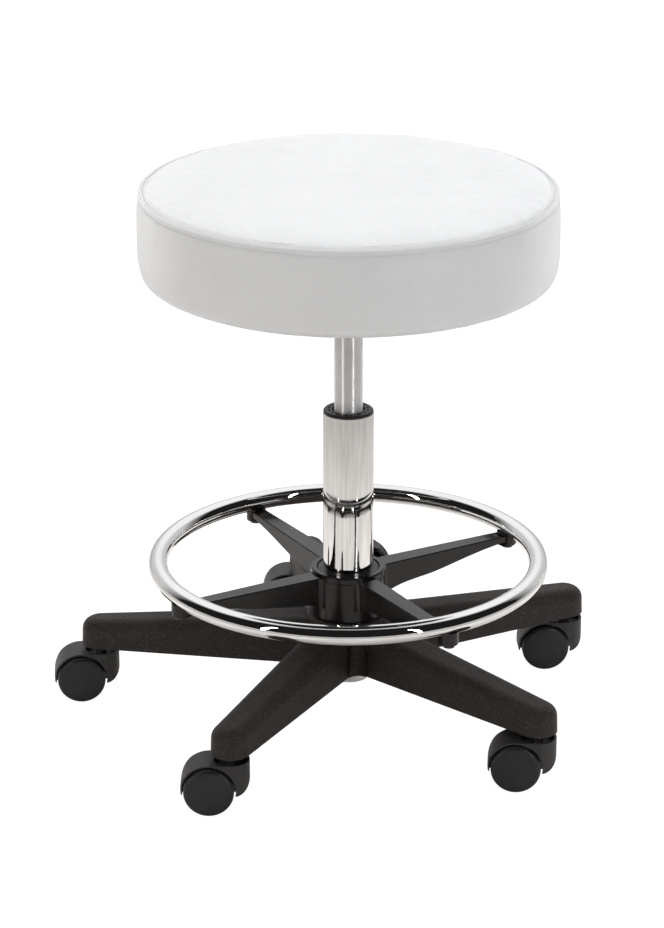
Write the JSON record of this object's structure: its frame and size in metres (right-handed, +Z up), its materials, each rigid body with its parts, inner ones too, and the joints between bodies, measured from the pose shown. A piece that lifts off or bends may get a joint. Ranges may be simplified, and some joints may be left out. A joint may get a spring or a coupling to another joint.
{
  "type": "pedicure stool",
  "caption": "Round padded swivel stool on a gas lift with a chrome foot ring and a five-arm base on twin-wheel castors",
  "frame": {"origin": "on the column axis at floor level, under the seat centre", "axes": "+Z up along the column; +X along the height lever"},
  "size_m": [0.5387, 0.5389, 0.554],
  "materials": {
    "nylon_textured": "matte",
    "steel_plain": "satin",
    "chrome_polished": "polished",
    "zinc_plate": "satin",
    "tube_steel": "satin",
    "bolt_steel": "satin",
    "bush_plastic": "satin",
    "buffer_rubber": "matte",
    "piston_alloy": "satin",
    "clip_black": "satin",
    "powder_coat": "satin",
    "plywood": "matte",
    "seat_foam": "matte",
    "white_vinyl": "satin",
    "dust_fabric": "matte",
    "grip_plastic": "satin",
    "spider_plastic": "gloss",
    "caster_hood": "matte",
    "caster_wheel": "satin"
  },
  "bodies": {
    "base": {"base_star": "nylon_textured", "hub_sleeve": "steel_plain", "stem_sockets": "steel_plain", "column_tube": "chrome_polished", "column_end_plate": "zinc_plate", "guide_bush": "bush_plastic"},
    "piston": {"piston_rod": "steel_plain", "piston_head": "piston_alloy", "rod_buffer": "buffer_rubber", "bearing_balls": "steel_plain", "bearing_washer_upper": "steel_plain", "rod_clip": "clip_black"},
    "seat": {"pressure_tube": "tube_steel", "rod_guide": "bush_plastic", "valve_body": "piston_alloy", "taper_socket": "powder_coat", "seat_plate": "powder_coat", "seat_plate_bolts": "bolt_steel", "seat_tee_nuts": "bolt_steel", "seat_board": "plywood", "seat_foam": "seat_foam", "seat_cover_top": "white_vinyl", "seat_cover_band": "white_vinyl", "seat_welt": "white_vinyl", "dust_cover": "dust_fabric", "lever_pivot_pin": "steel_plain"},
    "lever": {"height_lever": "powder_coat", "lever_grip": "grip_plastic"},
    "release_pin": {"release_pin": "steel_plain"},
    "foot_slider": {"foot_collet": "bush_plastic"},
    "foot_ring": {"foot_ring": "chrome_polished", "foot_spider": "spider_plastic", "foot_ring_screws": "powder_coat"},
    "clamp_knob": {"clamp_knob": "spider_plastic", "clamp_stud": "bolt_steel"},
    "caster_1": {"caster_1_hood": "caster_hood", "caster_1_stem": "steel_plain", "caster_1_axle": "steel_plain"},
    "caster_1_left": {"caster_1_wheel_left": "caster_wheel"},
    "caster_1_right": {"caster_1_wheel_right": "caster_wheel"},
    "caster_2": {"caster_2_hood": "caster_hood", "caster_2_stem": "steel_plain", "caster_2_axle": "steel_plain"},
    "caster_2_left": {"caster_2_wheel_left": "caster_wheel"},
    "caster_2_right": {"caster_2_wheel_right": "caster_wheel"},
    "caster_3": {"caster_3_hood": "caster_hood", "caster_3_stem": "steel_plain", "caster_3_axle": "steel_plain"},
    "caster_3_left": {"caster_3_wheel_left": "caster_wheel"},
    "caster_3_right": {"caster_3_wheel_right": "caster_wheel"},
    "caster_4": {"caster_4_hood": "caster_hood", "caster_4_stem": "steel_plain", "caster_4_axle": "steel_plain"},
    "caster_4_left": {"caster_4_wheel_left": "caster_wheel"},
    "caster_4_right": {"caster_4_wheel_right": "caster_wheel"},
    "caster_5": {"caster_5_hood": "caster_hood", "caster_5_stem": "steel_plain", "caster_5_axle": "steel_plain"},
    "caster_5_left": {"caster_5_wheel_left": "caster_wheel"},
    "caster_5_right": {"caster_5_wheel_right": "caster_wheel"}
  },
  "joints": [
    {"name": "piston_swivel", "type": "hinge", "parent": "base", "child": "piston", "pos_m": [0, 0, 0.043], "axis": [0, 0, 1], "continuous": true},
    {"name": "seat_height", "type": "slide", "parent": "piston", "child": "seat", "axis": [0, 0, 1], "range_m": [-0.07, 0.06]},
    {"name": "lever_pull", "type": "hinge", "parent": "seat", "child": "lever", "pos_m": [0.028, 0, 0.444], "axis": [0, -1, 0], "range_deg": [0, 5], "stiffness_Nm_per_rad": 5, "springref_deg": -2.86},
    {"name": "release_pin_press", "type": "slide", "parent": "seat", "child": "release_pin", "axis": [0, 0, -1], "range_m": [0, 0.0026], "stiffness_N_per_m": 500, "springref_m": -0.001},
    {"name": "foot_ring_height", "type": "slide", "parent": "base", "child": "foot_slider", "axis": [0, 0, 1], "range_m": [0, 0.12]},
    {"name": "foot_ring_turn", "type": "hinge", "parent": "foot_slider", "child": "foot_ring", "pos_m": [0, 0, 0.1535], "axis": [0, 0, 1], "continuous": true},
    {"name": "clamp_knob_turn", "type": "hinge", "parent": "foot_ring", "child": "clamp_knob", "pos_m": [0.03768, 0.03287, 0.135], "axis": [0.7536, 0.6574, 0], "range_deg": [0, 270]},
    {"name": "caster_1_swivel", "type": "hinge", "parent": "base", "child": "caster_1", "pos_m": [0.10508, 0.23058, 0.06], "axis": [0, 0, 1], "continuous": true},
    {"name": "caster_1_left_roll", "type": "hinge", "parent": "caster_1", "child": "caster_1_left", "pos_m": [0.08799, 0.2419, 0.0242], "axis": [0.5519, 0.8339, 0], "continuous": true},
    {"name": "caster_1_right_roll", "type": "hinge", "parent": "caster_1", "child": "caster_1_right", "pos_m": [0.08799, 0.2419, 0.0242], "axis": [0.5519, 0.8339, 0], "continuous": true},
    {"name": "caster_2_swivel", "type": "hinge", "parent": "base", "child": "caster_2", "pos_m": [-0.18683, 0.1712, 0.06], "axis": [0, 0, 1], "continuous": true},
    {"name": "caster_2_left_roll", "type": "hinge", "parent": "caster_2", "child": "caster_2_left", "pos_m": [-0.20458, 0.18144, 0.0242], "axis": [0.5, 0.866, 0], "continuous": true},
    {"name": "caster_2_right_roll", "type": "hinge", "parent": "caster_2", "child": "caster_2_right", "pos_m": [-0.20458, 0.18144, 0.0242], "axis": [0.5, 0.866, 0], "continuous": true},
    {"name": "caster_3_swivel", "type": "hinge", "parent": "base", "child": "caster_3", "pos_m": [-0.22055, -0.12478, 0.06], "axis": [0, 0, 1], "continuous": true},
    {"name": "caster_3_left_roll", "type": "hinge", "parent": "caster_3", "child": "caster_3_left", "pos_m": [-0.23744, -0.11317, 0.0242], "axis": [0.5664, 0.8241, 0], "continuous": true},
    {"name": "caster_3_right_roll", "type": "hinge", "parent": "caster_3", "child": "caster_3_right", "pos_m": [-0.23744, -0.11317, 0.0242], "axis": [0.5664, 0.8241, 0], "continuous": true},
    {"name": "caster_4_swivel", "type": "hinge", "parent": "base", "child": "caster_4", "pos_m": [0.05052, -0.24831, 0.06], "axis": [0, 0, 1], "continuous": true},
    {"name": "caster_4_left_roll", "type": "hinge", "parent": "caster_4", "child": "caster_4_left", "pos_m": [0.03426, -0.23583, 0.0242], "axis": [0.6088, 0.7934, 0], "continuous": true},
    {"name": "caster_4_right_roll", "type": "hinge", "parent": "caster_4", "child": "caster_4_right", "pos_m": [0.03426, -0.23583, 0.0242], "axis": [0.6088, 0.7934, 0], "continuous": true},
    {"name": "caster_5_swivel", "type": "hinge", "parent": "base", "child": "caster_5", "pos_m": [0.25177, -0.02869, 0.06], "axis": [0, 0, 1], "continuous": true},
    {"name": "caster_5_left_roll", "type": "hinge", "parent": "caster_5", "child": "caster_5_left", "pos_m": [0.2342, -0.01813, 0.0242], "axis": [0.515, 0.8572, 0], "continuous": true},
    {"name": "caster_5_right_roll", "type": "hinge", "parent": "caster_5", "child": "caster_5_right", "pos_m": [0.2342, -0.01813, 0.0242], "axis": [0.515, 0.8572, 0], "continuous": true}
  ],
  "couplings": [
    {"joint": "release_pin_press", "follows": "lever_pull", "m_per_rad": 0.028}
  ]
}
